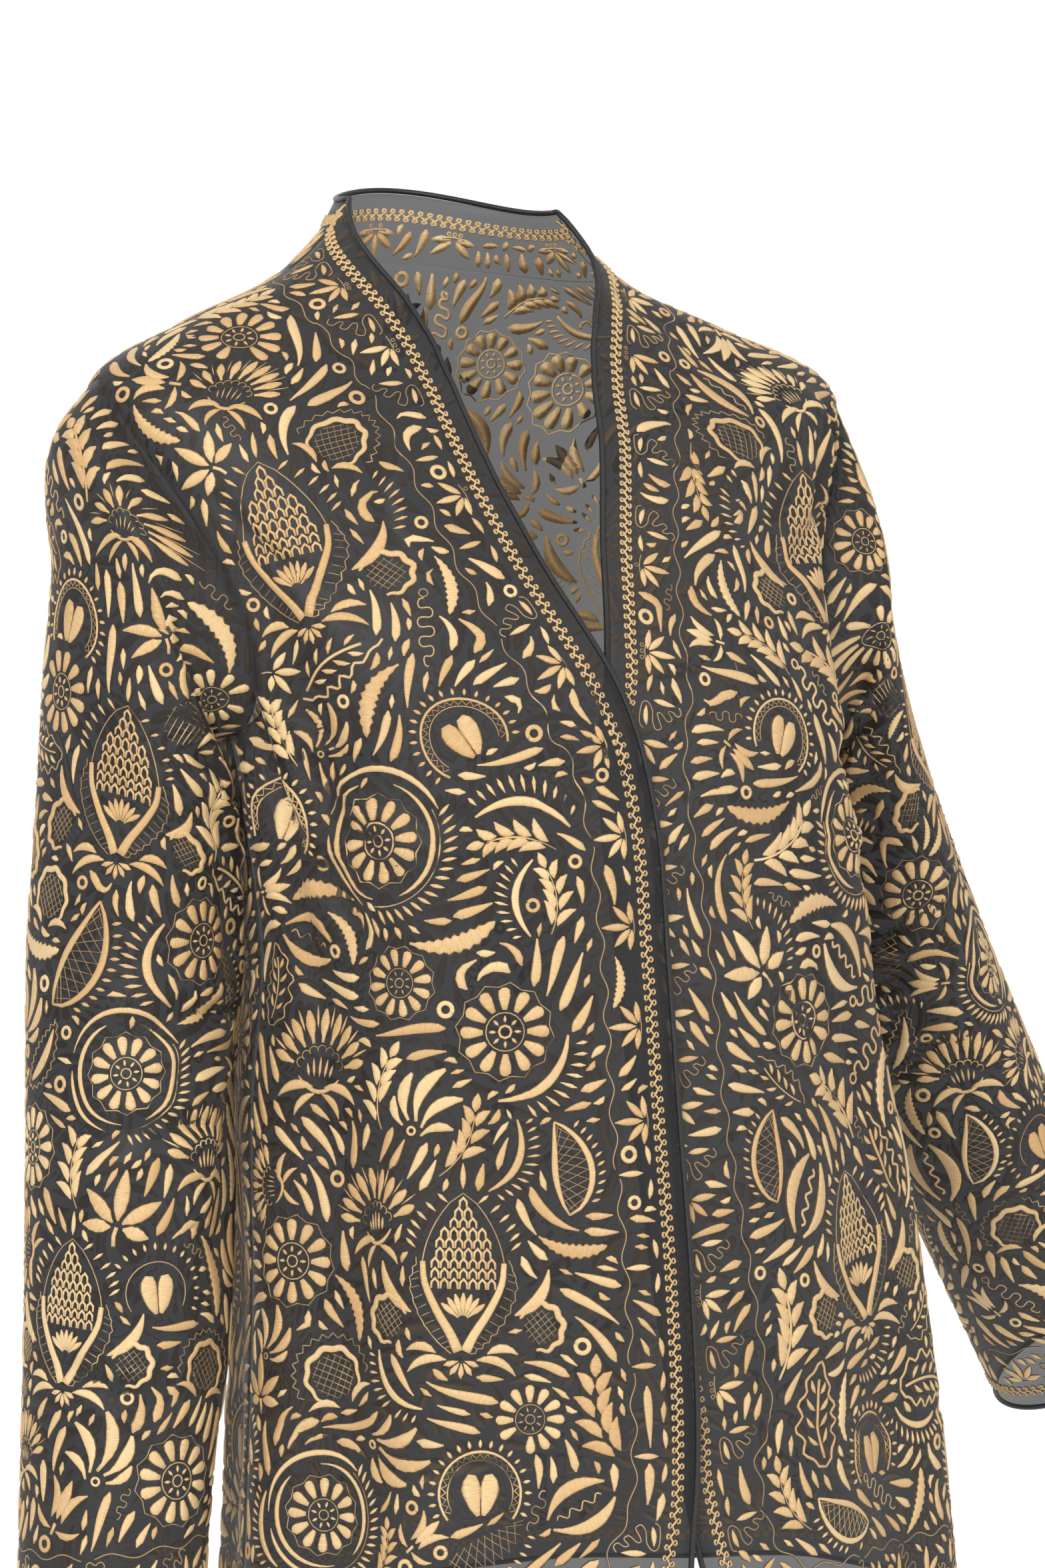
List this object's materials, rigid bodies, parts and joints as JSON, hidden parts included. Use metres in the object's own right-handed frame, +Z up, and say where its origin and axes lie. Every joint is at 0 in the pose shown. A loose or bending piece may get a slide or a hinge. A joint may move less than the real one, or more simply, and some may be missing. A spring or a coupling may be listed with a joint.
{
  "type": "jacket",
  "caption": "Open-front, long-sleeved hip-length jacket of sheer black cloth with a V neck and dense cream flower and leaf embroidery, worn shape and hollow.",
  "frame": {"origin": "middle of the neck base, where the wearer's neck and shoulders hold the jacket up", "axes": "+Z up, -Y to the front, +X to the wearer's left"},
  "size_m": [0.6959, 0.2961, 0.7227],
  "materials": {
    "sheer_cloth": "sheer, satin thread",
    "rolled_edge": "matt",
    "press_snap": "satin"
  },
  "bodies": {
    "root": {"front_right": "sheer_cloth", "front_left": "sheer_cloth", "back": "sheer_cloth", "neck_stand": "sheer_cloth", "sleeve_right": "sheer_cloth", "sleeve_left": "sheer_cloth", "edge_right": "rolled_edge", "edge_left": "rolled_edge", "edge_back_hem": "rolled_edge", "edge_neck": "rolled_edge", "edge_cuff_right": "rolled_edge", "edge_cuff_left": "rolled_edge", "snap_stud": "press_snap", "snap_cap": "press_snap"}
  },
  "joints": []
}
